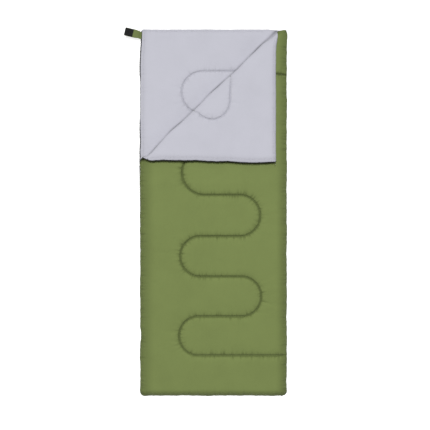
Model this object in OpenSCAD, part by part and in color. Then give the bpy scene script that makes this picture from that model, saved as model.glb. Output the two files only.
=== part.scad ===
// Rectangular sleeping bag laid flat, its top corner folded back over the top quilt.
// Millimetres. X runs across the bag to its folded side, Y runs up to the head end
// and Z runs up from the floor. The origin is on the underside, midway along both ways.

/* [Bag] */
// Length of the bag, foot to head
bag_length = 1900; // [1700:10:2200]
// Width of the bag, zip side to folded side
bag_width = 760; // [650:10:900]
// Thickness of one quilt
quilt_loft = 26; // [12:1:40]
// Room between the two quilts
quilt_gap = 8; // [6:1:20]
// Radius of the two rounded foot corners
corner_radius = 18; // [6:1:60]

/* [Cloth] */
// Thickness of the shell and lining cloth
cloth = 0.8; // [0.6:0.1:1.5]
// Diameter of the sewing thread
thread_diameter = 0.8; // [0.5:0.1:1.2]
// Distance between a cloth face and the thread on it
thread_lift = 0.05; // [0.05:0.05:0.3]
// Distance of the hem stitching from the edge
hem_inset = 15; // [8:1:30]

/* [Quilting] */
// Number of straight rows in the quilting line
row_count = 8; // [4:2:12]
// Distance between two rows
row_pitch = 210.4; // [120:0.1:260]
// Distance from the foot of the bag to the first row
first_row = 213.6; // [60:0.1:320]
// Middle of the loops on the zip side
left_loop_x = -70; // [-200:5:0]
// Middle of the loops on the folded side
right_loop_x = 140; // [0:5:240]

/* [Folded corner] */
// Distance from the corner to each end of the fold
fold_leg = 699.2; // [300:0.1:740]
// Room between the folded corner and the quilt it lies on
fold_gap = 3; // [2.5:0.5:8]

/* [Zip] */
// Width of the tape that shows beside each quilt
tape_reach = 6.3; // [6:0.1:14]
// Depth of the tape sewn to a quilt edge where the zip is closed
tape_drop = 12; // [6:1:16]
// Thickness of the tape
tape_thickness = 0.6; // [0.4:0.1:1.2]
// Width of one row of teeth
teeth_width = 2.4; // [1.6:0.1:3.2]
// Height of one row of teeth
teeth_height = 2; // [1.4:0.1:3]
// Room between the two rows of teeth
teeth_gap = 1.6; // [1.6:0.1:3]
// Length of each metal end piece
stop_length = 5; // [3:0.5:9]
// Length of the retaining box at the foot end
end_box_length = 10; // [6:0.5:16]
// Distance from the folded side to the retaining box
end_box_inset = 30; // [24:1:80]

/* [Slider] */
// Length of the slider
slider_length = 18; // [12:1:26]
// Width of the slider's outer plate
slider_width = 12; // [8:0.5:16]
// Thickness of the slider's outer plate
slider_plate = 2; // [1:0.1:3]
// Distance the slider runs toward the foot
slider_travel = 1150; // [200:10:1160]
// Length of the pull, from its eye to its end
pull_length = 28; // [16:1:50]
// Width of the pull
pull_width = 5; // [3:0.5:5]
// Thickness of the pull
pull_thickness = 1.6; // [1:0.1:2]

/* [Closing tab] */
// Width of the strap
strap_width = 41; // [20:1:50]
// Thickness of the strap
strap_thickness = 1.6; // [1:0.1:3]
// Length that rises beside the quilts when the tab is closed
strap_rise = 35.3; // [30:0.1:60]
// Length that lies over the top quilt when the tab is closed
strap_tip = 39.7; // [25:0.1:60]
// Angle of the strap away from square to the edge
strap_angle = 13.4; // [0:0.1:25]
// Distance from the head end to the middle of the strap
strap_inset = 29; // [25:1:60]
// Length of the part sewn into the bag, measured across the bag
strap_root = 13.9; // [12:0.1:20]
// Thickness of the hook patch and of the loop patch
patch_thickness = 1.2; // [0.8:0.1:2]
// Length of the loop patch
loop_length = 20; // [14:1:30]
// Width of the loop patch
loop_width = 36; // [20:1:40]

/* [Hidden] */
$fn = 64;
// room kept between two bodies that move past each other
clear = 0.3;
// the zip stands this far outside the quilts
zip_stand = 2.3;
x_left = -bag_width / 2 + zip_stand;
x_right = bag_width / 2 - clear;
y_foot = -bag_length / 2 + zip_stand;
y_head = bag_length / 2;
z_lower_top = quilt_loft;
z_upper_bottom = quilt_loft + quilt_gap;
z_upper_top = 2 * quilt_loft + quilt_gap;
// height of the zip, and of the line the top quilt turns about
z_zip = quilt_loft + quilt_gap / 2;
// height of the line the corner folds about
z_fold = z_upper_top + fold_gap / 2;
// the fold line is where y - x equals this
fold_offset = bag_width / 2 + bag_length / 2 - fold_leg;
fold_setback = clear * sqrt(2);
y_fold_end = x_left + fold_offset;
row_radius = row_pitch / 2;
thread_r = thread_diameter / 2;
thread_seat = thread_lift + thread_r;
hem_left = x_left + hem_inset;
hem_foot = y_foot + hem_inset;
hem_head = y_head - hem_inset;
teeth_in = 0.7;
teeth_out = teeth_height - teeth_in;
open_teeth_width = 2.2;
// the zip is closed below this and laid open above it
y_zip_closed = y_fold_end - 4;
y_zip_open = y_fold_end;
y_corner_zip = y_fold_end + 16;
x_zip_end = x_right - end_box_inset;
x_tape_edge = x_left - tape_reach;
z_tape_lower = quilt_loft - 1.4;
z_tape_upper = z_upper_bottom + 0.8;
slider_y = y_fold_end - 14;
slider_post = 5;
x_plate = x_left - teeth_out - 0.4;
pull_eye_r = 2.2;
pull_pin_r = 0.6;
pull_hole_r = pull_pin_r + clear;
x_pull = x_plate - slider_plate - 0.6 - pull_eye_r;
eye_width = 2.4;
lug_wall = 1.2;
// the strap's root lies on the lining of the bottom quilt
z_strap_face = quilt_loft + strap_thickness;
root_overlap = 10.5;
x_tab = x_left - strap_root;
y_tab = y_head - strap_inset + tan(strap_angle) * (x_left - x_tab);
strap_gap = 0.2;
loop_middle = strap_tip - loop_length / 2 + 1.3;
// larger than the bag, for cutting
far = bag_length + bag_width;

shell_colour = [0.36, 0.42, 0.19];
lining_colour = [0.72, 0.72, 0.77];
filling_colour = [0.93, 0.93, 0.91];
thread_colour = [0.24, 0.29, 0.13];
lining_thread_colour = [0.60, 0.60, 0.65];
zip_colour = [0.05, 0.05, 0.05];
metal_colour = [0.30, 0.30, 0.31];

// Rectangle of one quilt with two rounded foot corners, grown outward by g
module quilt_outline(g = 0) {
    r = corner_radius + g;
    x0 = x_left - g;
    x1 = x_right + min(g, 0);
    y0 = y_foot - g;
    y1 = y_head + min(g, 0);
    difference() {
        translate([x0, y0]) square([x1 - x0, y1 - y0]);
        translate([x0 - 1, y0 - 1]) square(r + 1);
        translate([x1 - r, y0 - 1]) square(r + 1);
    }
    translate([x0 + r, y0 + r]) circle(r);
    translate([x1 - r, y0 + r]) circle(r);
}

// Everything on the foot side of the fold line
module foot_side() {
    polygon([
        [-far, -far + fold_offset - fold_setback],
        [far, far + fold_offset - fold_setback],
        [far, -far * 2],
        [-far, -far * 2]
    ]);
}

// Everything on the corner side of the fold line
module corner_side() {
    polygon([
        [-far, -far + fold_offset + fold_setback],
        [far, far + fold_offset + fold_setback],
        [-far, far * 2]
    ]);
}

// Turns a corner piece from its closed place to its folded place
module folded_back() {
    translate([0, fold_offset, z_fold])
        rotate([180, 0, 45])
            rotate([0, 0, -45])
                translate([0, -fold_offset, -z_fold])
                    children();
}

// Quilt cloth: a plate with a wall all round, open on one face
module shell_cup(z_low, z_pocket) {
    difference() {
        translate([0, 0, z_low])
            linear_extrude(quilt_loft - cloth) quilt_outline();
        translate([0, 0, z_pocket])
            linear_extrude(quilt_loft - 2 * cloth) quilt_outline(-cloth);
    }
}

module lining_plate(z) {
    translate([0, 0, z]) linear_extrude(cloth) quilt_outline();
}

module filling(z) {
    translate([0, 0, z])
        linear_extrude(quilt_loft - 2 * cloth) quilt_outline(-cloth - 0.2);
}

module rod_x(x0, x1, y, z) {
    translate([x0, y, z]) rotate([0, 90, 0]) cylinder(h = x1 - x0, r = thread_r);
}

module rod_y(x, y0, y1, z) {
    translate([x, y0, z]) rotate([-90, 0, 0]) cylinder(h = y1 - y0, r = thread_r);
}

// Half loop joining row k to the row above it; side is -1 left, 1 right
module loop_arc(k, side, z) {
    x = side < 0 ? left_loop_x : right_loop_x;
    y = y_foot - zip_stand + first_row + (k + 0.5) * row_pitch;
    translate([x, y, z])
        rotate([0, 0, side < 0 ? 90 : -90])
            rotate_extrude(angle = 180)
                translate([row_radius, 0]) circle(thread_r);
}

// The whole quilting line at one height
module quilting_line(z) {
    for (k = [0 : row_count - 1]) {
        y = y_foot - zip_stand + first_row + k * row_pitch;
        ends = k == 0 || k == row_count - 1;
        rod_x(left_loop_x, ends ? x_right - 1 : right_loop_x, y, z);
    }
    for (k = [0 : 2 : row_count - 2]) loop_arc(k, -1, z);
    for (k = [1 : 2 : row_count - 3]) loop_arc(k, 1, z);
}

// Hem stitching along the zip side, the foot and the head
module hem_line(z) {
    rod_y(hem_left, hem_foot, hem_head, z);
    rod_x(hem_left, x_right - hem_inset, hem_foot, z);
    rod_x(hem_left, x_right - hem_inset, hem_head, z);
    translate([hem_left, hem_foot, z]) sphere(thread_r);
    translate([hem_left, hem_head, z]) sphere(thread_r);
}

module keep_foot_side() {
    intersection() {
        children();
        translate([0, 0, z_upper_bottom - 5])
            linear_extrude(quilt_loft + 10) foot_side();
    }
}

module keep_corner_side() {
    intersection() {
        children();
        translate([0, 0, z_upper_bottom - 5])
            linear_extrude(quilt_loft + 10) corner_side();
    }
}

// Strip that follows the zip side and the foot where the zip is closed
module closed_zip_strip(g0, g1, z0, z1, y_end, x_end) {
    translate([0, 0, z0])
        linear_extrude(z1 - z0)
            intersection() {
                difference() {
                    quilt_outline(g1);
                    quilt_outline(g0);
                }
                translate([-bag_width, -bag_length])
                    square([bag_width + x_end, bag_length + y_end]);
                union() {
                    translate([-bag_width, -bag_length])
                        square([bag_width + x_left + corner_radius, 2 * bag_length]);
                    translate([-bag_width, -bag_length])
                        square([2 * bag_width, bag_length + y_foot + corner_radius]);
                }
            }
}

module open_tape(y0, z) {
    translate([x_tape_edge, y0, z])
        cube([tape_reach, y_head - 1 - y0, tape_thickness]);
}

module open_teeth(y0, z) {
    translate([x_tape_edge - open_teeth_width, y0, z + tape_thickness / 2 - teeth_height / 2])
        cube([open_teeth_width, y_head - 2 - stop_length - y0, teeth_height]);
}

module open_stop(z) {
    translate([x_tape_edge - open_teeth_width, y_head - 2 - stop_length, z + tape_thickness / 2])
        translate([0, 0, -teeth_height / 2])
            cube([open_teeth_width, stop_length, teeth_height]);
}

// Moves a piece drawn along +X onto the line of the closing tab
module along_tab() {
    translate([x_tab, y_tab, z_strap_face]) rotate([0, 0, 180 - strap_angle]) children();
}

// ---- bottom quilt ----

module bottom_shell() {
    color(shell_colour) {
        shell_cup(0, cloth);
        translate([x_right - cloth, y_foot + corner_radius, z_lower_top - cloth])
            cube([cloth, y_head - y_foot - corner_radius, quilt_gap + cloth - clear]);
    }
}

module bottom_insulation() {
    color(filling_colour) filling(cloth);
}

module bottom_lining() {
    color(lining_colour)
        translate([0, 0, z_lower_top - cloth])
            linear_extrude(cloth) quilt_outline(-cloth);
}

module bottom_quilting_thread() {
    color(lining_thread_colour)
        quilting_line(z_lower_top + thread_seat);
}

module bottom_hem_thread() {
    color(lining_thread_colour) hem_line(z_lower_top + thread_seat);
}

module lower_zip_tape() {
    color(zip_colour) {
        closed_zip_strip(
            0, tape_thickness,
            z_zip - teeth_gap / 2 - teeth_width - tape_drop,
            z_zip - teeth_gap / 2 - teeth_width,
            y_zip_open + 4, x_zip_end
        );
        open_tape(y_zip_open, z_tape_lower);
    }
}

module lower_zip_teeth() {
    z_top = z_zip - teeth_gap / 2;
    z_link = z_tape_lower + tape_thickness;
    color(zip_colour) {
        closed_zip_strip(
            -teeth_in, teeth_out, z_top - teeth_width, z_top, y_zip_closed, x_zip_end
        );
        translate([x_tape_edge - open_teeth_width, y_zip_open + 9, z_link - 1])
            cube([open_teeth_width, 3, 2]);
        open_teeth(y_zip_open + 12, z_tape_lower);
        translate([0, 0, z_link])
            linear_extrude(z_top - teeth_width + 0.3 - z_link)
                polygon([
                    [x_left + teeth_in, y_zip_closed],
                    [x_left - teeth_out, y_zip_closed],
                    [x_tape_edge - open_teeth_width, y_zip_open + 12],
                    [x_tape_edge, y_zip_open + 12]
                ]);
    }
}

module lower_zip_stop() {
    color(metal_colour) open_stop(z_tape_lower);
}

module zip_end_box() {
    color(zip_colour)
        translate([x_zip_end, y_foot - 2.2, z_zip - 6])
            cube([end_box_length, 2.2, 5.5]);
}

module tab_root() {
    color(shell_colour)
        intersection() {
            along_tab()
                translate([-3 * strap_root, -strap_width / 2, -strap_thickness])
                    cube([3 * strap_root - strap_gap, strap_width, strap_thickness]);
            translate([x_left + root_overlap - far, -far, 0]) cube([far, 2 * far, far]);
        }
}

// ---- top quilt ----

module top_shell() {
    color(shell_colour)
        keep_foot_side()
            shell_cup(z_upper_bottom + cloth, z_upper_bottom + cloth);
}

module top_insulation() {
    color(filling_colour) keep_foot_side() filling(z_upper_bottom + cloth);
}

module top_lining() {
    color(lining_colour)
        keep_foot_side()
            translate([0, 0, z_upper_bottom])
                linear_extrude(cloth) quilt_outline(-cloth);
}

module top_quilting_thread() {
    color(thread_colour)
        keep_foot_side()
            quilting_line(z_upper_top + thread_seat);
}

module top_hem_thread() {
    color(thread_colour)
        keep_foot_side()
            hem_line(z_upper_top + thread_seat);
}

module upper_zip_tape() {
    color(zip_colour)
        closed_zip_strip(
            0, tape_thickness,
            z_zip + teeth_gap / 2 + teeth_width,
            z_zip + teeth_gap / 2 + teeth_width + tape_drop,
            y_zip_closed, x_zip_end
        );
}

module upper_zip_teeth() {
    z_low = z_zip + teeth_gap / 2;
    color(zip_colour)
        closed_zip_strip(
            -teeth_in, teeth_out, z_low, z_low + teeth_width, y_zip_closed, x_zip_end
        );
}

module zip_end_pin() {
    color(zip_colour)
        translate([x_zip_end, y_foot - 1.9, z_zip + 0.5])
            cube([end_box_length - 3, 1.9, 5.5]);
}

// ---- folded corner ----

module corner_shell() {
    color(shell_colour)
        folded_back()
            keep_corner_side()
                shell_cup(z_upper_bottom + cloth, z_upper_bottom + cloth);
}

module corner_insulation() {
    color(filling_colour)
        folded_back()
            keep_corner_side()
                filling(z_upper_bottom + cloth);
}

module corner_lining() {
    color(lining_colour)
        folded_back()
            keep_corner_side()
                translate([0, 0, z_upper_bottom])
                    linear_extrude(cloth) quilt_outline(-cloth);
}

module corner_quilting_thread() {
    color(lining_thread_colour)
        folded_back()
            keep_corner_side()
                quilting_line(z_upper_bottom - thread_seat);
}

module corner_hem_thread() {
    color(lining_thread_colour)
        folded_back()
            keep_corner_side()
                hem_line(z_upper_bottom - thread_seat);
}

module corner_zip_tape() {
    color(zip_colour) folded_back() open_tape(y_corner_zip, z_tape_upper);
}

module corner_zip_teeth() {
    color(zip_colour) folded_back() open_teeth(y_corner_zip, z_tape_upper);
}

module corner_zip_stop() {
    color(metal_colour) folded_back() open_stop(z_tape_upper);
}

module loop_patch() {
    color(zip_colour)
        folded_back()
            translate([x_tab, y_tab, z_upper_top])
                rotate([0, 0, -strap_angle])
                    translate([loop_middle - loop_length / 2, -loop_width / 2, 0])
                        cube([loop_length, loop_width, patch_thickness]);
}

// ---- closing tab ----

module tab_strap_base() {
    color(shell_colour)
        along_tab()
            translate([strap_gap, -strap_width / 2, -strap_thickness])
                cube([strap_rise - 2 * strap_gap, strap_width, strap_thickness]);
}

module tab_strap_tip() {
    color(shell_colour)
        along_tab()
            translate([strap_rise + strap_gap, -strap_width / 2, -strap_thickness])
                cube([strap_tip - strap_gap, strap_width, strap_thickness]);
}

module hook_patch() {
    inset = 1.5;
    color(zip_colour)
        along_tab()
            translate([strap_rise + 2, -strap_width / 2 + inset, 0])
                cube([strap_tip - 2 - inset, strap_width - 2 * inset, patch_thickness]);
}

// ---- slider ----

module slider_body() {
    inner_plate = 1.4;
    x_inner = x_left + 1.1;
    z_inner = quilt_gap - 1.2;
    lug_height = x_plate - slider_plate - (x_pull - pull_eye_r);
    lug_length = 2 * pull_eye_r;
    color(metal_colour) {
        translate([x_plate - slider_plate, slider_y - slider_length / 2, z_zip - slider_width / 2])
            cube([slider_plate, slider_length, slider_width]);
        translate([x_inner, slider_y - slider_length / 2, z_zip - z_inner / 2])
            cube([inner_plate, slider_length, z_inner]);
        translate([x_plate, slider_y + slider_length / 2 - slider_post, z_zip - 0.5])
            cube([x_inner - x_plate, slider_post, 1]);
        for (side = [-1, 1])
            translate([
                x_pull - pull_eye_r,
                slider_y - lug_length / 2,
                z_zip + side * (eye_width / 2 + clear + lug_wall / 2) - lug_wall / 2
            ])
                cube([lug_height, lug_length, lug_wall]);
        translate([x_pull, slider_y, z_zip - eye_width / 2 - clear])
            cylinder(h = eye_width + 2 * clear, r = pull_pin_r);
    }
}

module slider_pull() {
    color(metal_colour)
        difference() {
            union() {
                translate([x_pull, slider_y, z_zip - eye_width / 2])
                    cylinder(h = eye_width, r = pull_eye_r);
                translate([x_pull - pull_thickness / 2, slider_y - 8, z_zip - eye_width / 2])
                    cube([pull_thickness, 8, eye_width]);
                translate([x_pull - pull_thickness / 2, slider_y - pull_length, z_zip - pull_width / 2])
                    cube([pull_thickness, pull_length - 6, pull_width]);
            }
            translate([x_pull, slider_y, z_zip - eye_width])
                cylinder(h = 2 * eye_width, r = pull_hole_r);
        }
}

bottom_shell();
bottom_insulation();
bottom_lining();
bottom_quilting_thread();
bottom_hem_thread();
lower_zip_tape();
lower_zip_teeth();
lower_zip_stop();
zip_end_box();
tab_root();
top_shell();
top_insulation();
top_lining();
top_quilting_thread();
top_hem_thread();
upper_zip_tape();
upper_zip_teeth();
zip_end_pin();
corner_shell();
corner_insulation();
corner_lining();
corner_quilting_thread();
corner_hem_thread();
corner_zip_tape();
corner_zip_teeth();
corner_zip_stop();
loop_patch();
tab_strap_base();
tab_strap_tip();
hook_patch();
slider_body();
slider_pull();
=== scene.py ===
"""Looks of the rectangular sleeping bag: quilted cloth, stitching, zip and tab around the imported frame."""

import math

import bmesh
import bpy
import numpy as np
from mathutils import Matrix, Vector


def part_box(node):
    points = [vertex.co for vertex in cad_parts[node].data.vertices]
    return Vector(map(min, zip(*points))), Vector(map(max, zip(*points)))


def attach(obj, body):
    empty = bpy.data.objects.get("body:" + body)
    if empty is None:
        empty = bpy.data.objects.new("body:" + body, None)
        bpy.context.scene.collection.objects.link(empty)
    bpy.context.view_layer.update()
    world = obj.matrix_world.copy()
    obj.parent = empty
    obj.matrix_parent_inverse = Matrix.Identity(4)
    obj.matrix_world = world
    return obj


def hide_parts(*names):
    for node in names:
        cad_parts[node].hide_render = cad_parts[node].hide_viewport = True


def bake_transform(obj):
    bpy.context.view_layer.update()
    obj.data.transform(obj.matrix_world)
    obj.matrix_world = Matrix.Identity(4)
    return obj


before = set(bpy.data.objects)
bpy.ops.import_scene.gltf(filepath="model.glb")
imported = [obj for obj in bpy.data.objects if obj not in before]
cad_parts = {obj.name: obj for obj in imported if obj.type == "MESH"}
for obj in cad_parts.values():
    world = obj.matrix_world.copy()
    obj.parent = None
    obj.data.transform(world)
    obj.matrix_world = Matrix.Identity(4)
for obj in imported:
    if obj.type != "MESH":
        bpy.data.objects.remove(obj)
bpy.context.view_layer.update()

# -------------------- sizes, in metres

WIDTH, LENGTH = 0.760, 1.900
LEFT, RIGHT, FOOT, HEAD = -WIDTH / 2, WIDTH / 2, -LENGTH / 2, LENGTH / 2
Z_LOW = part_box("bottom_lining")[1].z  # top of the bottom quilt
Z_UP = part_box("top_lining")[0].z  # underside of the top quilt
Z_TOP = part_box("top_shell")[1].z  # top of the top quilt
Z_ZIP = (Z_LOW + Z_UP) / 2
Z_FOLD = (Z_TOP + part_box("corner_shell")[0].z) / 2
CAD_EDGE = 0.3777  # the corner's zip side in the CAD is at minus this x
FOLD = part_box("corner_shell")[0].y + CAD_EDGE  # y - x on the fold line
Y_SPLIT = FOLD - CAD_EDGE  # where the fold meets the zip side
ROOT2 = math.sqrt(2)

# Heights of the rows of stitching, foot to head, and where each loop between two rows has its centre:
# loops lie to the left and to the right in turn.
ROWS = (-0.7333, -0.5328, -0.3285, -0.1216, 0.0900, 0.321)
LOOPS = (-0.0763, 0.1423, -0.0674, 0.1336, -0.0466, 0.135)
HEM = 0.0147  # from the edge to the hem's stitching
STITCH = 0.004  # pitch of all long rows of stitches
TAPE_STEP = 0.004  # along the zip's tapes
CELL = 0.0040  # of the cloths' grids, and of the filling's
PAD_CELL = 0.0080

# -------------------- small mesh tools


def new_object(name, verts, faces, material):
    mesh = bpy.data.meshes.new(name)
    mesh.from_pydata([tuple(map(float, v)) for v in verts], [], faces)
    mesh.update()
    obj = bpy.data.objects.new(name, mesh)
    bpy.context.scene.collection.objects.link(obj)
    mesh.materials.append(material)
    mesh.polygons.foreach_set("use_smooth", [True] * len(mesh.polygons))
    return obj


def finish_piece(obj, body, slot, *nodes):
    """Attaches a piece to what it rides on and hides the CAD parts that it stands for. The slot is not used.
    """
    if body:
        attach(obj, body)
    if nodes:
        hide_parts(*nodes)
    return obj


def unit(v):
    return v / np.linalg.norm(v, axis=1, keepdims=True)


def grid_quads(shape):
    """Faces of a grid of points whose rows run along x, seen from above."""
    i = np.arange(shape[0] * shape[1]).reshape(shape)
    return np.stack([i[:-1, :-1], i[:-1, 1:], i[1:, 1:], i[1:, :-1]], -1).reshape(-1, 4)


def tube_faces(count, rings, sides):
    """Faces of many separate closed tubes, each with its rings of points one after the other."""
    quads = [
        (r * sides + k, r * sides + (k + 1) % sides, (r + 1) * sides + (k + 1) % sides, (r + 1) * sides + k)
        for r in range(rings - 1)
        for k in range(sides)
    ]
    caps = [tuple(range(sides))[::-1], tuple((rings - 1) * sides + k for k in range(sides))]
    return [tuple(n * rings * sides + i for i in f) for n in range(count) for f in quads + caps]


def spindles(ends_a, ends_b, radius, sides=6, taper=0.35):
    """Many short rods with rounded ends, as one mesh: the stitches of a seam."""
    a, b = np.asarray(ends_a), np.asarray(ends_b)
    along = b - a
    along /= np.linalg.norm(along, axis=1, keepdims=True) + 1e-12
    up = np.where(np.abs(along[:, 2:3]) < 0.9, [[0, 0, 1.0]], [[1.0, 0, 0]])
    u = unit(np.cross(along, up))
    v = np.cross(along, u)
    stations = [(0.0, taper), (0.2, 1.0), (0.8, 1.0), (1.0, taper)]
    verts = []
    for t, scale in stations:
        mid = a + (b - a) * t
        for k in range(sides):
            w = 2 * math.pi * k / sides
            verts.append(mid + radius * scale * (u * math.cos(w) + v * math.sin(w)))
    verts = np.stack(verts, 1)  # one row per rod
    return verts.reshape(-1, 3), tube_faces(len(verts), len(stations), sides)


def ribbon(inner, outer, thickness, steps=6):
    """A thin closed strip between two edges."""
    along = unit(np.gradient(outer, axis=0))
    normal = unit(np.cross(along, outer - inner))
    n = len(outer)
    rows = []
    for side in (1, -1):
        order = range(steps + 1) if side > 0 else range(steps, -1, -1)
        for k in order:
            rows.append(outer + (inner - outer) * k / steps + normal * thickness / 2 * side)
    m = len(rows)
    verts = np.stack(rows, 1).reshape(-1, 3)
    faces = [
        (i * m + k, i * m + (k + 1) % m, (i + 1) * m + (k + 1) % m, (i + 1) * m + k)
        for i in range(n - 1)
        for k in range(m)
    ]
    faces += [tuple(range(m))[::-1], tuple((n - 1) * m + k for k in range(m))]
    return verts, faces


def resample(points, pitch):
    """Points at an even pitch along a polyline. Columns after the third are carried along."""
    p = np.asarray(points, float)
    length = np.concatenate([[0], np.cumsum(np.linalg.norm(np.diff(p[:, :3], axis=0), axis=1))])
    t = np.arange(pitch / 2, length[-1], pitch)
    return np.stack([np.interp(t, length, p[:, k]) for k in range(p.shape[1])], 1)


# -------------------- quilting line and cloth simulation


def quilting_line(head_rows, head_loop):
    """The rows and half-round loops of one quilt's line, as (y, x0, x1) and (x, y, radius, side)."""
    heights, centres = (*ROWS, *head_rows), (*LOOPS, head_loop)
    ends = (RIGHT, *centres, RIGHT)
    rows = [(y, min(ends[k : k + 2]), max(ends[k : k + 2])) for k, y in enumerate(heights)]
    loops = [
        (x, (low + high) / 2, (high - low) / 2, 1 if k % 2 else -1)
        for k, (x, low, high) in enumerate(zip(centres, heights, heights[1:]))
    ]
    return rows, loops


TOP_LINE = quilting_line((0.523, 0.712), -0.073)
BOTTOM_LINE = quilting_line((0.514, 0.734), -0.056)


def quilting_path(line, pitch):
    """Points along the whole quilting line, foot end first."""
    rows, loops = line
    points = [(RIGHT - 0.002, rows[0][0])]
    for x, y, r, side in loops:
        turn = np.linspace(-math.pi / 2, math.pi / 2, 60)
        points += [(x + side * r * math.cos(a), y + r * math.sin(a)) for a in turn]
    points += [(rows[-1][1], rows[-1][0]), (RIGHT - 0.002, rows[-1][0])]
    return resample(points, pitch)


def seam_foot(line, x, y):
    """Distance from each point to the quilting line, and the nearest point on it."""
    best = np.full(np.shape(x), 9.0)
    near_x, near_y = np.array(x, float), np.array(y, float)
    rows, loops = line
    for row, x0, x1 in rows:
        px = np.clip(x, x0, x1)
        d = np.hypot(x - px, y - row)
        closer = d < best
        best = np.where(closer, d, best)
        near_x, near_y = np.where(closer, px, near_x), np.where(closer, row, near_y)
    for cx, cy, radius, side in loops:
        dx, dy = x - cx, y - cy
        r = np.hypot(dx, dy) + 1e-9
        d = np.abs(r - radius)
        closer = (dx * side >= 0) & (d < best)
        best = np.where(closer, d, best)
        near_x = np.where(closer, cx + dx / r * radius, near_x)
        near_y = np.where(closer, cy + dy / r * radius, near_y)
    return best, near_x, near_y


SIM_CELL = 0.0076
SIM_FRAMES = 20


def simulate_quilt(line, seed, pressure, slack):
    """One quilt face blown up between its stitches by the cloth solver, as heights over a regular grid."""
    nx, ny = round(WIDTH / SIM_CELL), round(LENGTH / SIM_CELL)
    x, y = np.meshgrid(np.linspace(LEFT, RIGHT, nx + 1), np.linspace(FOOT, HEAD, ny + 1))
    distance, _, _ = seam_foot(line, x, y)
    rim = np.minimum.reduce([x - LEFT, RIGHT - x, y - FOOT, HEAD - y]) < 1e-6
    held = (distance < 0.55 * SIM_CELL) | rim
    z = np.random.default_rng(seed).uniform(0, 0.0008, x.shape)
    z[held] = 0
    verts = np.stack([x, y, z], -1).reshape(-1, 3)
    mesh = bpy.data.meshes.new("cloth")
    mesh.from_pydata(verts.tolist(), [], grid_quads(x.shape).tolist())
    obj = bpy.data.objects.new("cloth", mesh)
    bpy.context.scene.collection.objects.link(obj)
    group = obj.vertex_groups.new(name="stitched")
    group.add([int(k) for k in np.flatnonzero(held.ravel())], 1.0, "REPLACE")
    modifier = obj.modifiers.new("cloth", "CLOTH")
    cloth = modifier.settings
    cloth.quality = 5
    cloth.tension_stiffness = cloth.compression_stiffness = 15
    cloth.shear_stiffness = 5
    cloth.bending_stiffness = 0.05
    cloth.air_damping = 3
    cloth.vertex_group_mass = "stitched"
    cloth.use_pressure = True
    cloth.uniform_pressure_force = pressure
    cloth.shrink_min = -slack
    cloth.effector_weights.gravity = 0
    modifier.point_cache.frame_end = SIM_FRAMES
    for f in range(1, SIM_FRAMES + 1):
        bpy.context.scene.frame_set(f)
    done = obj.evaluated_get(bpy.context.evaluated_depsgraph_get())
    out = np.empty(x.size * 3)
    done.data.vertices.foreach_get("co", out)
    bpy.data.objects.remove(obj)
    bpy.context.scene.frame_set(1)
    return np.maximum(out.reshape(*x.shape, 3)[..., 2], 0)


def cubic(grid, cell, x, y):
    """Smooth lookup in a grid of values over the quilt."""
    u = np.clip((np.asarray(x) - LEFT) / cell, 0, grid.shape[1] - 1.001)
    v = np.clip((np.asarray(y) - FOOT) / cell, 0, grid.shape[0] - 1.001)
    i, j = u.astype(int), v.astype(int)

    def weights(t):
        return [
            -0.5 * t + t * t - 0.5 * t**3,
            1 - 2.5 * t * t + 1.5 * t**3,
            0.5 * t + 2 * t * t - 1.5 * t**3,
            -0.5 * t * t + 0.5 * t**3,
        ]

    wu, wv = weights(u - i), weights(v - j)
    total = np.zeros(np.shape(x))
    for b in range(4):
        row = np.clip(j + b - 1, 0, grid.shape[0] - 1)
        for a in range(4):
            col = np.clip(i + a - 1, 0, grid.shape[1] - 1)
            total = total + wv[b] * wu[a] * grid[row, col]
    return total


PUFF = {
    "top_shell": (TOP_LINE, simulate_quilt(TOP_LINE, 3, 8, 0.04)),
    "top_lining": (TOP_LINE, simulate_quilt(TOP_LINE, 11, 6, 0.035)),
    "bottom_lining": (BOTTOM_LINE, simulate_quilt(BOTTOM_LINE, 5, 6, 0.035)),
}
PUFF["bottom_shell"] = PUFF["bottom_lining"]

# -------------------- shape of a quilt face

rng = np.random.default_rng(7)
CRUMPLE_CELL = 0.0052
CRUMPLE = rng.normal(0, 1, (round(LENGTH / CRUMPLE_CELL) + 2, round(WIDTH / CRUMPLE_CELL) + 2))
# Length and height of each wave.
WAVES = [(0.31, 0.0007), (0.17, 0.0006), (0.083, 0.0005), (0.041, 0.0004), (0.023, 0.0002)]
PHASES = rng.uniform(0, 2 * math.pi, (8, len(WAVES)))


def waviness(t, row):
    """Small irregular waves along an edge. Each edge has its own row of phases."""
    return sum(a * np.sin(2 * math.pi * t / w + PHASES[row][k]) for k, (w, a) in enumerate(WAVES))


def smooth(t):
    t = np.clip(t, 0, 1)
    return t * t * (3 - 2 * t)


def bump(t, centre, width):
    return np.exp(-(((t - centre) / width) ** 2))


# Each face's level, its rim height at the zip side, foot, folded side and head, how far in the face curves,
# the depth of the valley along its stitching with its half width, and how deep the gathers beside it are.
FACES = {
    "top_shell": dict(
        level=Z_TOP + 0.0003, rim=(0.036, 0.036, Z_ZIP, 0.047), reach=(0.085, 0.045, 0.062, 0.035),
        valley=0.0105, width=0.0044, puff=0.0045, gather=0.0022, hem=0.0007,
    ),
    "top_lining": dict(
        level=Z_UP, rim=(0.036, 0.036, Z_ZIP, 0.047), reach=(0.03, 0.03, 0.02, 0.030),
        valley=0.0070, width=0.0034, puff=0.0030, gather=0.0010, hem=0.0013,
    ),
    "bottom_lining": dict(
        level=Z_LOW, rim=(0.0235, 0.0235, Z_ZIP, 0.013), reach=(0.045, 0.025, 0.02, 0.04),
        valley=0.0070, width=0.0034, puff=0.0030, gather=0.0010, hem=0.0013,
    ),
    "bottom_shell": dict(
        level=0.0004, rim=(0.0235, 0.0235, Z_ZIP, 0.013), reach=(0.05, 0.045, 0.05, 0.03),
        valley=0.0050, width=0.0042, puff=0.0030, gather=0.0010, hem=0.0007,
    ),
}
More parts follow.
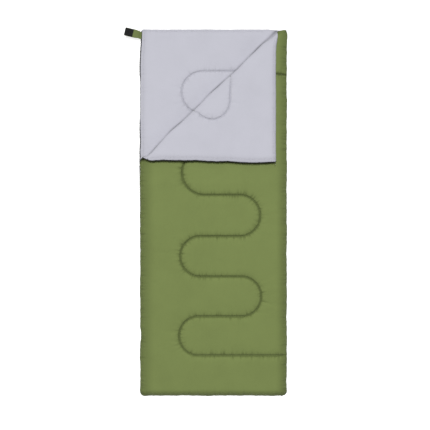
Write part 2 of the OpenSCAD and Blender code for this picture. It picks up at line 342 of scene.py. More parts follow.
OUTER_UP = ("top_shell", "bottom_lining")  # faces whose outer side is up while the bag lies unfolded
CROWN = 0.009  # how far the shell's panels stand up where nothing lies on them
LINING_CROWN = 0.003
CREASE_PRESS = 0.011  # how much thinner the folded corner is at its crease
PUFF_SCALE = 0.006  # the solver's heights level off around this one
HEM_WIDTH = 0.0032
GATHER_REACH = 0.007  # from a seam to the top of the gathers beside it
TUCK_REACH = 0.008  # the same beside the outer seams
# Each corner of the outline and its radius.
CORNERS = [(LEFT, FOOT, 0.022), (RIGHT, FOOT, 0.022), (LEFT, HEAD, 0.008), (RIGHT, HEAD, 0.021)]
DRAW_IN = 0.0085  # how far the zip side leans in at the head
DENTS = [(-0.640, 0.035, 0.0042), (-0.194, 0.012, 0.003), (-0.066, 0.012, 0.003)]  # y, half width, depth
EDGE_FADE = 0.05  # how far in the edges' waves are felt
FOOT_SHIFT = 0.003


def plan(x, y):
    """Rounds the corners of the outline and lets its edges waver."""
    x, y = np.array(x, float), np.array(y, float)
    for cx, cy, r in CORNERS:
        sx, sy = np.sign(cx), np.sign(cy)
        a, b = (x - (cx - sx * r)) * sx, (y - (cy - sy * r)) * sy
        inside = (a > 0) & (b > 0)
        scale = np.where(inside, np.maximum(a, b) / (np.hypot(a, b) + 1e-12), 1)
        x = np.where(inside, cx - sx * r + a * scale * sx, x)
        y = np.where(inside, cy - sy * r + b * scale * sy, y)
    x = x + DRAW_IN * np.clip((y - 0.77) / 0.16, 0, 1) * smooth(1 - (x - LEFT) / 0.1)
    dents = sum(depth * bump(y, at, width) for at, width, depth in DENTS)
    calm = 1 - 0.75 * smooth((y - 0.66) / 0.1)
    x = x + (waviness(y, 0) * calm + dents) * smooth(1 - (x - LEFT) / EDGE_FADE)
    x = x + waviness(y, 1) * smooth(1 - (RIGHT - x) / EDGE_FADE)
    y = y + (FOOT_SHIFT + waviness(x, 2)) * smooth(1 - (y - FOOT) / EDGE_FADE)
    y = y + 0.4 * waviness(x, 3) * smooth(1 - (HEAD - y) / EDGE_FADE)
    return x, y


def rim_distances(x, y):
    return np.stack([x - LEFT, y - FOOT, RIGHT - x, HEAD - y])


def crumple(x, y):
    return cubic(CRUMPLE, CRUMPLE_CELL, x, y)


def hump(d, reach):
    """Rises from nothing at a seam to one at the reach, and dies away."""
    return (d / reach) * np.exp(1 - d / reach)


def gathers(line, x, y):
    """Small folds that run square to the stitching, and the distance to it."""
    d, nx, ny = seam_foot(line, x, y)
    out_x, out_y = (x - nx) / (d + 1e-6), (y - ny) / (d + 1e-6)
    fold = np.clip(crumple(nx + 0.012 * out_x, ny + 0.012 * out_y), 0, 2.2)
    return fold * hump(d, GATHER_REACH), d


def tucks(x, y, e):
    """The same beside the outer seams."""
    side = e.argmin(0)
    rim_x = np.choose(side, [np.full(len(x), LEFT), x, np.full(len(x), RIGHT), x])
    rim_y = np.choose(side, [y, np.full(len(x), FOOT), y, np.full(len(x), HEAD)])
    return np.clip(crumple(rim_x, rim_y), 0, 2.2) * hump(e.min(0), TUCK_REACH)


def crease_side(x, y):
    """Distance past the fold line of the corner."""
    return (y - x - FOLD) / ROOT2


def face_height(kind, x, y):
    """Height of one quilt face, with the top quilt unfolded."""
    spec = FACES[kind]
    e = np.maximum(rim_distances(x, y), 0)
    w = 1 / (e + 0.002) ** 3
    rim = (w * np.array(spec["rim"])[:, None]).sum(0) / w.sum(0)
    rise = np.ones(len(x))
    for d, reach in zip(e, spec["reach"]):
        rise = rise * (1 - (1 - np.clip(d / reach, 0, 1)) ** 2) ** 0.62
    level = spec["level"]
    if kind == "top_shell":  # crowned only where the corner doesn't lie on it
        level = level + CROWN * smooth((Y_SPLIT - 0.018 - y) / 0.09)
    elif kind == "bottom_lining":  # open to the room where the corner is folded back
        level = level + LINING_CROWN * smooth((crease_side(x, y) - 0.01) / 0.06)
    elif kind == "top_lining":  # pressed thinner towards the crease
        past = crease_side(x, y)
        level = level - LINING_CROWN * smooth((past - 0.03) / 0.06) + CREASE_PRESS * bump(past, 0, 0.032)

    line, heights = PUFF[kind]
    edge = e.min(0)
    puff = 1 - np.exp(-cubic(heights, SIM_CELL, x, y) / PUFF_SCALE)
    gather, d = gathers(line, x, y)
    seam = spec["valley"] * np.exp(-d / spec["width"]) + spec["puff"] * (1 - puff) + spec["gather"] * gather
    hem = spec["hem"] * bump(edge, HEM, HEM_WIDTH) * rise + 0.9 * spec["gather"] * tucks(x, y, e)
    if kind == "top_lining":  # no room for a valley where the quilt is pressed thin
        seam = seam * (1 - 0.8 * bump(crease_side(x, y), 0, 0.042))
    outward = 1 if kind in OUTER_UP else -1
    fade = smooth(edge / (0.03 if "shell" in kind else 0.075))  # the quilt gets thin towards its rim
    return rim + (level - rim) * rise - outward * (seam * fade + hem)


# Strengths and widths of the painted shade on the cloth's colour
SEAM_SHADE, SEAM_SHADE_WIDTH = 0.34, 0.0043  # on the shell, along the quilting
LINING_SEAM_SHADE, LINING_SEAM_WIDTH = 0.10, 0.006
CREASE_SHADE, CREASE_UNDER_SHADE = 0.36, 1.0  # on the roll of lining, and on the lining that it lies on


def face_painted_shade(kind, x, y):
    """Painted shade: how much the cloth's colour is darkened along seams, rims and the fold, standing in for
    the shade that falls there.
    """
    line, _ = PUFF[kind]
    e = np.maximum(rim_distances(x, y), 0)
    gather, d = gathers(line, x, y)
    left, foot, right, head = e
    s = crease_side(x, y)
    if "shell" in kind:
        rims = 0.13 * smooth((0.085 - left) / 0.055) + 0.12 * np.exp(-left / 0.009)
        rims += 0.11 * smooth((0.070 - right) / 0.055) + 0.08 * np.exp(-right / 0.009)
        rims += 0.30 * bump(foot, 0.012, 0.017) + 0.25 * np.exp(-head / 0.010)
        seam = SEAM_SHADE * np.exp(-((d / SEAM_SHADE_WIDTH) ** 2)) + 0.10 * gather
        return np.clip(rims + seam + 0.12 * tucks(x, y, e), 0, 0.6)
    rims = 0.09 * smooth((0.040 - left) / 0.035)
    rims = rims + 0.10 * np.exp(-head / 0.014) + 0.05 * np.exp(-foot / 0.014)
    seam = LINING_SEAM_SHADE * np.exp(-((d / LINING_SEAM_WIDTH) ** 2)) + 0.05 * gather
    patchy = 0.6 + 0.4 * np.sin((x + y) * 23 + 2) * np.sin((x + y) * 7.3)
    # painted shade on the roll of lining at the crease, and painted shadow of the roll on the lining under
    # it
    if kind == "top_lining":
        crease = CREASE_SHADE * bump(s, 0.0, 0.007) * patchy
    else:
        crease = CREASE_UNDER_SHADE * bump(s + crease_sag(x, y), 0.001, 0.0075) * patchy
    return np.clip(rims + seam + crease + 0.03 * tucks(x, y, e), 0, 0.75)


def face_point(kind, x, y, lift=0.0):
    """Points of one quilt face, unfolded. The two quilts part a little at the head."""
    x, y = np.asarray(x, float), np.asarray(y, float)
    z = face_height(kind, x, y)
    side = 1 if kind in OUTER_UP else -1
    px, py = plan(x, y)
    head = smooth((y - 0.86) / 0.09)
    if kind.startswith("bottom"):
        py = py + 0.0046 * head * smooth((0.33 - x) / 0.05)
    else:
        py = py - 0.0030 * head * smooth((0.25 - x) / 0.05)
    return np.stack([px, py, z + side * lift], 1)


QUILT = 0.026  # thickness of the quilt that is folded
ROLL_INSIDE = 0.004  # half width of the roll on the shell's side, inside the fold
ROLL_EXTRA = 0.0185  # how much wider it is on the lining's side


def fold_over(p):
    """Folds the top quilt's corner back: points past the fold line turn over onto the quilt."""
    p = np.array(p, float)
    s = crease_side(p[:, 0], p[:, 1])
    depth = Z_FOLD - p[:, 2]
    share = np.clip((depth - 0.0015) / QUILT, 0, 1)
    half = ROLL_INSIDE + share * ROLL_EXTRA
    reach = half - (0.0025 - 0.002 * share)
    angle = math.pi / 2 * (1 + np.clip(s / half, -1, 1))
    new_s = np.where(s <= -half, s, np.where(s >= half, -s, -half + reach * np.sin(angle)))
    roll_z = Z_FOLD - depth * np.cos(angle)
    new_z = np.where(s <= -half, p[:, 2], np.where(s >= half, 2 * Z_FOLD - p[:, 2], roll_z))
    p[:, 0] -= (new_s - s) / ROOT2
    p[:, 1] += (new_s - s) / ROOT2
    p[:, 2] = new_z
    return settle(p, s, new_s)


def crease_sag(x, y):
    """How far the crease lies off its straight line, growing from the zip side to the head."""
    along = ((x + y) / ROOT2 + 0.088) / 0.985
    slope = 0.0242 * along - 0.0092 - 0.006 * smooth((along - 0.9) / 0.1)
    slope = slope + 0.008 * smooth((0.2 - along) / 0.12)
    return slope + 0.0016 * np.sin(along * 19 + 1) + 0.0009 * np.sin(along * 47)


CREEP = 0.0100  # how far the whole flap lies towards the head
CREEP_ZIP, CREEP_FOLD = 0.0055, 0.011  # more of it beside the zip, and less towards the folded side
NOTCH, NOTCH_X = 0.024, -0.366  # dent in the flap's edge beside the zip
TUCK, TUCK_Y = 0.0045, 0.243  # dent in the zip side just below the fold


def settle(p, s, new_s):
    """Lets the folded corner lie: the fold sags, the flap creeps towards it, and its ends flatten."""
    near = crease_sag(p[:, 0], p[:, 1]) * np.exp(-((new_s / 0.06) ** 2))
    flap = smooth(s / 0.04)
    low_end = smooth(1 - (p[:, 1] - Y_SPLIT) / 0.10)
    notch = NOTCH * bump(p[:, 0], NOTCH_X, 0.024) * low_end * smooth((s + 0.03) / 0.03)
    lift = CREEP + CREEP_ZIP * smooth((0.02 - p[:, 0]) / 0.12)
    lift = lift - CREEP_FOLD * smooth((p[:, 0] - 0.05) / 0.2) * smooth(1 - (p[:, 1] - Y_SPLIT) / 0.35)
    tip = smooth((p[:, 1] - 0.85) / 0.10) * smooth((p[:, 0] - 0.20) / 0.08)
    tip = tip * (1 - 0.72 * smooth((p[:, 0] - 0.322) / 0.03))
    tuck = TUCK * bump(p[:, 1], TUCK_Y, 0.028) * smooth(1 - (p[:, 0] - LEFT) / 0.07) * (1 - flap)
    p[:, 0] += near / ROOT2 + 0.0025 * flap + tuck
    p[:, 1] += -near / ROOT2 + lift * flap + notch
    p[:, 1] -= tip * ((p[:, 2] - 0.03) * 0.33 + 0.004)
    return p


def grid_lines(a, b, cell):
    """Evenly spaced lines, closer together at both rims."""
    rim = [0, 0.0005, 0.0018, 0.004, 0.0072, 0.0112]
    inner = np.linspace(a + 0.0155, b - 0.0155, round((b - a - 0.031) / cell) + 1)
    return np.concatenate([[a + r for r in rim], inner, [b - r for r in rim[::-1]]])


def flat_sheet(line, cell, cuts=(), keep=None):
    """Flat pattern of a quilt face: a grid snapped to the stitching, finer beside it and cut at the fold."""
    xs, ys = grid_lines(LEFT, RIGHT, cell), grid_lines(FOOT, HEAD, cell)
    x, y = (g.ravel() for g in np.meshgrid(xs, ys))
    distance, nx, ny = seam_foot(line, x, y)
    snap = (distance < 0.5 * cell) & (rim_distances(x, y).min(0) > 0.012)
    x, y = np.where(snap, nx, x), np.where(snap, ny, y)
    mesh = bpy.data.meshes.new("flat")
    mesh.from_pydata(np.stack([x, y, 0 * x], 1).tolist(), [], grid_quads((len(ys), len(xs))).tolist())
    bm = bmesh.new()
    bm.from_mesh(mesh)
    bpy.data.meshes.remove(mesh)
    away = np.array([-1, 1, 0]) / ROOT2
    for s in cuts:
        at = (-(FOLD + s * ROOT2) / 2, (FOLD + s * ROOT2) / 2, 0)
        kwargs = {}
        if keep and s == keep[0]:
            kwargs["clear_inner"] = True
        if keep and s == keep[1]:
            kwargs["clear_outer"] = True
        geom = bm.verts[:] + bm.edges[:] + bm.faces[:]
        bmesh.ops.bisect_plane(bm, geom=geom, dist=1e-5, plane_co=at, plane_no=away, **kwargs)
    co = np.array([v.co[:2] for v in bm.verts])
    close = seam_foot(line, co[:, 0], co[:, 1])[0] < 0.0125
    bm.verts.index_update()
    edges = [e for e in bm.edges if close[e.verts[0].index] and close[e.verts[1].index]]
    bmesh.ops.subdivide_edges(bm, edges=edges, cuts=1, use_grid_fill=True)
    bm.verts.index_update()
    co = np.array([v.co[:2] for v in bm.verts])
    distance, nx, ny = seam_foot(line, *co.T)
    snap = (distance < 0.3 * cell) & (rim_distances(*co.T).min(0) > 0.012)
    co[snap] = np.stack([nx, ny], 1)[snap]
    faces = [[v.index for v in f.verts] for f in bm.faces]
    bm.free()
    return co, faces


def clear_of_crease(co, room):
    """Moves points off the crease to one side of it, so that the two sides part cleanly as it opens."""
    s = crease_side(*co.T)
    move = np.where(np.abs(s) < room, np.where(s < 0, -room, room) - s, 0) / ROOT2
    return co + np.stack([-move, move], 1)


def face_sheet(name, kind, material, cuts=(), keep=None, fold=False, room=0.0):
    """One quilt face as a piece, or the part of it between the two distances past the crease in keep."""
    co, faces = flat_sheet(PUFF[kind][0], CELL, cuts, keep)
    co = clear_of_crease(co, room)
    p = face_point(kind, co[:, 0], co[:, 1])
    if fold:
        p = fold_over(p)
    if kind not in OUTER_UP:
        faces = [f[::-1] for f in faces]
    obj = new_object(name, p, faces, material)
    # painted shade for the cloth's colour, kept on the mesh
    shade = obj.data.attributes.new("painted_shade", "FLOAT", "POINT")
    shade.data.foreach_set("value", face_painted_shade(kind, co[:, 0], co[:, 1]).astype(np.float32))
    return obj


def padding(name, low, high, keep=None, fold=False):
    """Closed pad of filling between two quilt faces."""
    co, faces = flat_sheet(PUFF[low][0], PAD_CELL, [k for k in (keep or ()) if k is not None], keep)
    inset = 0.0035  # clear of the rim
    x = co[:, 0] * (1 - inset / RIGHT)
    y = co[:, 1] * (1 - inset / HEAD)
    a, b = face_point(low, x, y), face_point(high, x, y)
    gap = np.maximum(b[:, 2] - a[:, 2], 0.001)
    near = np.exp(-((seam_foot(PUFF[low][0], x, y)[0] / 0.015) ** 2))
    rim = np.exp(-((np.maximum(rim_distances(x, y).min(0), 0) / 0.03) ** 2))
    margin = np.minimum(0.0028 + 0.014 * near + 0.005 * rim, gap * 0.485)
    a[:, 2] += margin
    b[:, 2] = a[:, 2] + gap - 2 * margin
    n = len(a)
    edges = {}
    for f in faces:
        for k in range(len(f)):
            pair = (f[k], f[(k + 1) % len(f)])
            edges[pair] = edges.get(pair, 0) + 1
    sides = [(i, j, j + n, i + n) for (i, j) in edges if (j, i) not in edges]
    p = np.concatenate([a, b])
    if fold:
        p = fold_over(p)
    every = [f[::-1] for f in faces] + [[i + n for i in f] for f in faces] + [s[::-1] for s in sides]
    return new_object(name, p, every, filling)


# -------------------- materials


class Nodes:
    """A short way to build a node material on the object's own coordinates."""

    def __init__(self, name):
        self.material = bpy.data.materials.new(name)
        self.material.use_nodes = True
        self.tree = self.material.node_tree
        self.shader = self.tree.nodes["Principled BSDF"]
        self.coord = self.node("TexCoord").outputs["Object"]

    def link(self, a, b):
        self.tree.links.new(a, b)

    def value(self, socket, number):
        self.shader.inputs[socket].default_value = number

    def node(self, kind, **numbers):
        """A new node, with numbers on its sockets. An underscore stands for a space."""
        node = self.tree.nodes.new(f"ShaderNode{kind}")
        for socket, number in numbers.items():
            node.inputs[socket.replace("_", " ")].default_value = number
        return node

    def noise(self, scale, detail=3.0, rough=0.5):
        node = self.node("TexNoise", Scale=scale, Detail=detail, Roughness=rough)
        self.link(self.coord, node.inputs["Vector"])
        return node.outputs["Fac"]

    def threads(self, pitch, axis, angle=0.0):
        """Parallel yarns across an axis."""
        node = self.node("TexWave", Scale=2 * math.pi / 20 / pitch, Distortion=0.6, Detail_Scale=2)
        node.bands_direction = axis
        turned = self.node("Mapping", Scale=(1, 1, 1), Rotation=(0, 0, angle))
        self.link(self.coord, turned.inputs["Vector"])
        self.link(turned.outputs["Vector"], node.inputs["Vector"])
        return node.outputs["Fac"]

    def math(self, op, a, b):
        node = self.node("Math")
        node.operation = op
        for k, v in enumerate((a, b)):
            if isinstance(v, (int, float)):
                node.inputs[k].default_value = v
            else:
                self.link(v, node.inputs[k])
        return node.outputs[0]

    def ramp(self, factor, stops):
        node = self.node("ValToRGB")
        for k, (at, colour) in enumerate(stops):
            element = node.color_ramp.elements[k] if k < 2 else node.color_ramp.elements.new(at)
            element.position = at
            element.color = (*colour, 1)
        self.link(factor, node.inputs["Fac"])
        return node.outputs["Color"]

    def with_painted_shade(self, colour, attribute, dark):
        """The colour, shifted towards a dark one by a painted shade value stored on the mesh."""
        share = self.node("Attribute")
        share.attribute_name = attribute
        mix = self.node("Mix")
        mix.data_type = "RGBA"
        self.link(share.outputs["Fac"], mix.inputs["Factor"])
        self.link(colour, mix.inputs[6])
        mix.inputs[7].default_value = (*dark, 1)
        return mix.outputs[2]

    def range(self, factor, low, high):
        node = self.node("MapRange", To_Min=low, To_Max=high)
        self.link(factor, node.inputs["Value"])
        return node.outputs["Result"]

    def bump(self, height, distance, strength=1.0, after=None):
        node = self.node("Bump", Distance=distance, Strength=strength)
        self.link(height, node.inputs["Height"])
        if after is not None:
            self.link(after, node.inputs["Normal"])
        return node.outputs["Normal"]


def tone(colour, factor):
    return tuple(min(1.0, c * factor) for c in colour)


def cloth_material(
    name, colour, yarn, spread=0.05, roughness=0.9, sheen=0.04, depth=0.00012, angle=0.0, gloss=0.2,
    tint=(1, 1, 1),
):
    """Plain-woven cloth: two sets of yarns, uneven dye, painted shade read from the mesh, and a soft fine
    crinkle.
    """
    n = Nodes(name)
    weave = n.math("MULTIPLY", n.threads(yarn, "X", angle), n.threads(yarn, "Y", angle))
    dye = n.math("ADD", n.math("MULTIPLY", n.noise(9, 4), 0.6), n.math("MULTIPLY", n.noise(140, 2), 0.25))
    shade = n.math("ADD", dye, n.math("MULTIPLY", weave, 0.18))
    tones = [(0.25, tone(colour, 1 - 1.6 * spread)), (0.5, colour), (0.78, tone(colour, 1 + spread))]
    dyed = n.ramp(shade, tones)
    # painted shade: the dyed colour is darkened towards near black by the mesh's painted shade value
    n.link(n.with_painted_shade(dyed, "painted_shade", tone(colour, 0.05)), n.shader.inputs["Base Color"])
    crinkle = n.bump(n.noise(55, 4, 0.6), 0.0006, 0.5)
    n.link(n.bump(weave, depth, 0.7, crinkle), n.shader.inputs["Normal"])
    n.link(n.range(n.noise(30, 3), roughness - 0.06, roughness + 0.04), n.shader.inputs["Roughness"])
    n.value("Sheen Weight", sheen)
    n.value("Sheen Roughness", 0.5)
    n.value("Specular IOR Level", gloss)
    n.value("Specular Tint", (*tint, 1))
    return n.material


def wadding_material(name, colour):
    """Loose polyester fibre."""
    n = Nodes(name)
    fibre = n.math("ADD", n.noise(160, 6, 0.7), n.noise(38, 3))
    tones = [(0.3, tone(colour, 0.84)), (0.7, colour)]
    n.link(n.ramp(n.math("MULTIPLY", fibre, 0.5), tones), n.shader.inputs["Base Color"])
    n.link(n.bump(fibre, 0.0015, 0.8), n.shader.inputs["Normal"])
    n.link(n.range(fibre, 0.9, 1.0), n.shader.inputs["Roughness"])
    n.value("Sheen Weight", 0.2)
    n.value("Specular IOR Level", 0.1)
    return n.material


def thread_material(name, colour):
    """Twisted sewing thread: fine slanted plies."""
    n = Nodes(name)
    ply = n.threads(0.0005, "DIAGONAL")
    mixed = n.math("ADD", n.math("MULTIPLY", ply, 0.5), n.math("MULTIPLY", n.noise(60, 2), 0.5))
    tones = [(0.3, tone(colour, 0.8)), (0.7, tone(colour, 1.15))]
    n.link(n.ramp(mixed, tones), n.shader.inputs["Base Color"])
    n.link(n.bump(ply, 0.0001, 0.6), n.shader.inputs["Normal"])
    n.link(n.range(ply, 0.6, 0.75), n.shader.inputs["Roughness"])
    n.value("Specular IOR Level", 0.3)
    return n.material


def hard_material(name, colour, roughness, metallic, worn):
    """Moulded or painted part: faint orange peel, scuffs that lighten it."""
    n = Nodes(name)
    scuff = n.noise(900, 5, 0.65)
    n.link(n.ramp(scuff, [(0.45, colour), (0.72, worn)]), n.shader.inputs["Base Color"])
    n.link(n.range(n.noise(420, 3), roughness - 0.08, roughness + 0.12), n.shader.inputs["Roughness"])
    n.link(n.bump(n.noise(1800, 2), 0.00004, 0.5), n.shader.inputs["Normal"])
    n.value("Metallic", metallic)
    return n.material


SHELL_COLOUR = (0.150, 0.187, 0.064)
LINING_COLOUR = (0.474, 0.474, 0.530)
BLACK = (0.012, 0.012, 0.012)

shell_cloth = cloth_material(
    "shell_cloth", SHELL_COLOUR, 0.0009, roughness=0.62, gloss=0.26, tint=(0.8, 1, 0.35)
)
lining_cloth = cloth_material("lining_cloth", LINING_COLOUR, 0.0011, spread=0.03, sheen=0.1)
strap_cloth = cloth_material(
    "strap_webbing", tone(SHELL_COLOUR, 0.95), 0.0016, depth=0.0003, angle=math.pi / 4
)
filling = wadding_material("filling", (0.80, 0.80, 0.78))
shell_thread = thread_material("shell_thread", tone(SHELL_COLOUR, 0.62))
lining_thread = thread_material("lining_thread", tone(LINING_COLOUR, 0.72))
zip_tape = cloth_material("zip_tape", BLACK, 0.0007, spread=0.2, depth=0.00015)
zip_teeth = hard_material("zip_teeth", (0.012, 0.012, 0.013), 0.42, 0, (0.05, 0.05, 0.05))
zip_metal = hard_material("zip_metal", (0.016, 0.016, 0.017), 0.35, 0.4, (0.16, 0.16, 0.16))
hook_tape = cloth_material("hook_and_loop", (0.014, 0.014, 0.014), 0.0012, spread=0.25, depth=0.0003)

# -------------------- quilts

ROLL_CUTS = [k * 0.004 for k in range(-8, 9)]  # distances past the crease where the roll is cut finer
LINING_CUTS = [s for s in ROLL_CUTS if s]
STRIP = 0.006  # half width of the shell strip that takes the crease
STRIP_CUTS = [-STRIP, -0.004, -0.0025, -0.001, 0.001, 0.0025, 0.004, STRIP]
PAD_GAP = 0.024  # the filling stops this far from the crease
before, beyond = (None, -STRIP), (STRIP, None)

bottom_shell = face_sheet("bottom_shell_cloth", "bottom_shell", shell_cloth)
bottom_lining = face_sheet("bottom_lining_cloth", "bottom_lining", lining_cloth)
top_shell = face_sheet("top_shell_cloth", "top_shell", shell_cloth, [*ROLL_CUTS, -STRIP], before, True)
corner_shell = face_sheet("corner_shell_cloth", "top_shell", shell_cloth, [*ROLL_CUTS, STRIP], beyond, True)
crease_shell = face_sheet(
    "crease_shell_cloth", "top_shell", shell_cloth, STRIP_CUTS, (-STRIP, STRIP), True, room=0.001
)
top_lining = face_sheet("top_lining_cloth", "top_lining", lining_cloth, LINING_CUTS, None, True, room=0.0015)
bottom_pad = padding("bottom_filling", "bottom_shell", "bottom_lining")
top_pad = padding("top_filling", "top_lining", "top_shell", (None, -PAD_GAP), True)
corner_pad = padding("corner_filling", "top_lining", "top_shell", (PAD_GAP, None), True)

finish_piece(bottom_shell, "bottom_quilt", "shell_cloth", "bottom_shell")
finish_piece(bottom_lining, "bottom_quilt", "lining_cloth", "bottom_lining")
finish_piece(bottom_pad, "bottom_quilt", "filling", "bottom_insulation")
finish_piece(top_shell, "top_quilt", "shell_cloth", "top_shell")
finish_piece(top_pad, "top_quilt", "filling", "top_insulation")
finish_piece(corner_shell, "corner_flap", "shell_cloth", "corner_shell")
finish_piece(corner_pad, "corner_flap", "filling", "corner_insulation")
finish_piece(crease_shell, None, "shell_cloth")
finish_piece(top_lining, None, "lining_cloth", "top_lining", "corner_lining")
for sheet, reach in ((crease_shell, 0.0002), (top_lining, 0.001)):
    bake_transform(sheet)

# -------------------- stitching


def stitch_ends(path, longest, gap=0.25):
    """Start and end of each stitch along evenly spaced points, without the jumps across a corner."""
    a, b = path[:-1], path[1:]
    a, b = a + (b - a) * gap / 2, b - (b - a) * gap / 2
    keep = np.hypot(*(b - a).T) < longest
    return a, b, keep


def hem_path():
    x0, y0, y1, x1 = LEFT + HEM, FOOT + HEM, HEAD - HEM, RIGHT - HEM
    return resample([(x1, y0), (x0, y0), (x0, y1), (x1, y1)], STITCH)


def stitching(name, kind, path, body, node, side):
    """A row of stitches on one face. Side -1 keeps those before the crease, 1 those past it."""
    a, b, keep = stitch_ends(path, longest=1.5 * STITCH)
    if side:
        clear = 0.024 if kind == "top_lining" else 0.008  # none where the cloth bends
        keep &= crease_side(*path[:-1].T) * side > clear
    ends = [face_point(kind, *p[keep].T, lift=0.0002) for p in (a, b)]
    if side:
        ends = [fold_over(p) for p in ends]
    slot, material = ("shell_thread", shell_thread) if "shell" in kind else ("lining_thread", lining_thread)
    obj = new_object(name, *spindles(*ends, 0.00042), material)
    return finish_piece(obj, body, slot, *([node] if node else []))


bottom_line = quilting_path(BOTTOM_LINE, STITCH)
top_line = quilting_path(TOP_LINE, STITCH)
hem = hem_path()
# Piece, face, route, body, the CAD's thread that it stands for, and the side of the crease.
STITCHING = [
    ("bottom_lining_quilting", "bottom_lining", bottom_line, "bottom_quilt", "bottom_quilting_thread", 0),
    ("bottom_lining_hemming", "bottom_lining", hem, "bottom_quilt", "bottom_hem_thread", 0),
    ("bottom_shell_quilting", "bottom_shell", bottom_line, "bottom_quilt", None, 0),
    ("top_shell_quilting", "top_shell", top_line, "top_quilt", "top_quilting_thread", -1),
    ("top_shell_hemming", "top_shell", hem, "top_quilt", "top_hem_thread", -1),
    ("top_lining_quilting", "top_lining", top_line, "top_quilt", None, -1),
    ("corner_lining_quilting", "top_lining", top_line, "corner_flap", "corner_quilting_thread", 1),
    ("corner_lining_hemming", "top_lining", hem, "corner_flap", "corner_hem_thread", 1),
    ("corner_shell_quilting", "top_shell", top_line, "corner_flap", None, 1),
]
for row in STITCHING:
    stitching(*row)

# -------------------- zip

X_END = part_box("zip_end_box")[0].x
Y_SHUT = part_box("upper_zip_tape")[1].y
TOOTH_PITCH = 0.0020
TAPE_THICK = 0.0007
ROUTE_STEP = 0.002


def plan_route(points, pitch):
    x, y = plan(*np.array(points, float).T)
    return resample(np.stack([x, y], 1), pitch)


def side_route(y_from, y_to):
    """Plan points down the zip side."""
    points = [(LEFT, y) for y in np.arange(y_from, y_to, -ROUTE_STEP)] + [(LEFT, y_to)]
    return plan_route(points, TAPE_STEP)


def foot_route(pitch):
    """Plan points along the foot, from the zip side's corner to the retaining box."""
    points = [(LEFT, FOOT)] + [(x, FOOT) for x in np.arange(LEFT + ROUTE_STEP, X_END, ROUTE_STEP)]
    return plan_route(points, pitch)


def outward(route):
    """Unit vectors out of the bag, square to a plan route that runs footward and then along the foot."""
    along = unit(np.gradient(route, axis=0))
    return np.stack([along[:, 1], -along[:, 0]], 1)


def teeth(root, across, length, half_along, half_thick):
    """Coil teeth: one rounded knuckle per root point, along the across direction."""
    along = unit(np.gradient(root, axis=0))
    thick = unit(np.cross(along, across))
    stations = [(-0.15, 0.75), (0.55, 0.7), (0.82, 1.0), (1.0, 0.6)]
    verts = []
    for t, scale in stations:
        for k in range(6):
            w = math.pi * (k + 0.5) / 3
            spread = along * half_along * math.cos(w) + thick * half_thick * math.sin(w)
            verts.append(root + across * length * t + scale * spread)
    verts = np.stack(verts, 1)
    return verts.reshape(-1, 3), tube_faces(len(verts), len(stations), 6)


def lift_route(route, offset, z):
    """Plan route moved outward by offset at height z."""
    out = outward(route)
    z = np.broadcast_to(z, len(route))
    return np.concatenate([route + out * np.reshape(offset, (-1, 1)), z[:, None]], 1)


def zip_half(half, body, inner, outer, knuckles):
    """One half of the zip: the tape between two edges, and its teeth."""
    tape = new_object(f"{half}_zip_tape_cloth", *ribbon(inner, outer, TAPE_THICK), zip_tape)
    finish_piece(tape, body, "zip_tape", f"{half}_zip_tape")
    coil = new_object(f"{half}_zip_teeth_coil", *knuckles, zip_teeth)
    finish_piece(coil, body, "zip_teeth", f"{half}_zip_teeth")


def teeth_along(inner, outer, keep, length, half_along, half_thick):
    """Teeth on a tape's outer edge, where keep says so."""
    fine = resample(np.concatenate([outer, unit(outer - inner)], 1), TOOTH_PITCH)
    fine = fine[keep(fine)]
    return teeth(fine[:, :3], fine[:, 3:], length, half_along, half_thick)


def upper_half():
    """Hangs from the top quilt's seam. Only its stretch along the foot is made, not the zip side's."""
    z_seam = FACES["top_shell"]["rim"][0] + 0.0006
    z_edge = 0.0332
    route = foot_route(TAPE_STEP)
    inner, outer = lift_route(route, 0, z_seam), lift_route(route, 0.0007, z_edge)
    root = lift_route(foot_route(TOOTH_PITCH), 0.0008, z_edge)
    across = np.zeros_like(root)
    across[:, 2] = -1
    knuckles = teeth(root, across, z_edge - Z_ZIP + 0.0004, 0.00055, 0.0011)
    zip_half("upper", "top_quilt", inner, outer, knuckles)


def droop(y):
    """How far an open tape has turned from hanging down the edge to lying out."""
    return smooth((y - Y_SHUT + 0.012) / 0.05)


def lower_half():
    """Free and curled over the edge above the slider, then straight to the foot's corner and along it."""
    free = side_route(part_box("lower_zip_tape")[1].y, Y_SHUT + 0.002)
    route = np.concatenate([free, foot_route(TAPE_STEP)])
    seam = FACES["bottom_lining"]["rim"][0]
    turn = droop(route[:, 1])
    y = route[:, 1]
    spread = 0.0012 + 0.0026 * smooth((y - 0.67) / 0.05) + 0.0024 * smooth((0.50 - y) / 0.05)
    inner = lift_route(route, -0.0008, seam + turn * 0.0006)
    out = 0.0009 * (1 - turn) + spread * turn
    up = (0.0268 - seam) * (1 - turn) - (0.0058 - 0.4 * spread) * turn
    outer = lift_route(route, out, seam + up)
    y_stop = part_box("lower_zip_stop")[0].y
    knuckles = teeth_along(inner, outer, lambda p: p[:, 1] < y_stop, 0.0034, 0.00078, 0.0011)
    zip_half("lower", "bottom_quilt", inner, outer, knuckles)


def corner_half():
    """The flap's half, which lies out from the folded edge."""
    y = np.arange(HEAD - 0.001, Y_SPLIT + 0.004, -TAPE_STEP)
    x, y = plan(np.full(len(y), LEFT), y)
    seam = np.stack([x, y, np.full(len(y), FACES["top_shell"]["rim"][0])], 1)
    inner, outer = fold_over(seam), fold_over(seam + [-0.0030, 0, -0.0012])
    x_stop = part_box("corner_zip_stop")[0].x
    knuckles = teeth_along(inner, outer, lambda p: p[:, 0] < x_stop, 0.0017, 0.00075, 0.0009)
    zip_half("corner", "corner_flap", inner, outer, knuckles)


upper_half()
lower_half()
corner_half()

METAL = ("lower_zip_stop", "corner_zip_stop", "zip_end_box", "zip_end_pin", "slider_body", "slider_pull")
for node in METAL:
    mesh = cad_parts[node].data
    mesh.materials.clear()
    mesh.materials.append(zip_metal)

# -------------------- strap

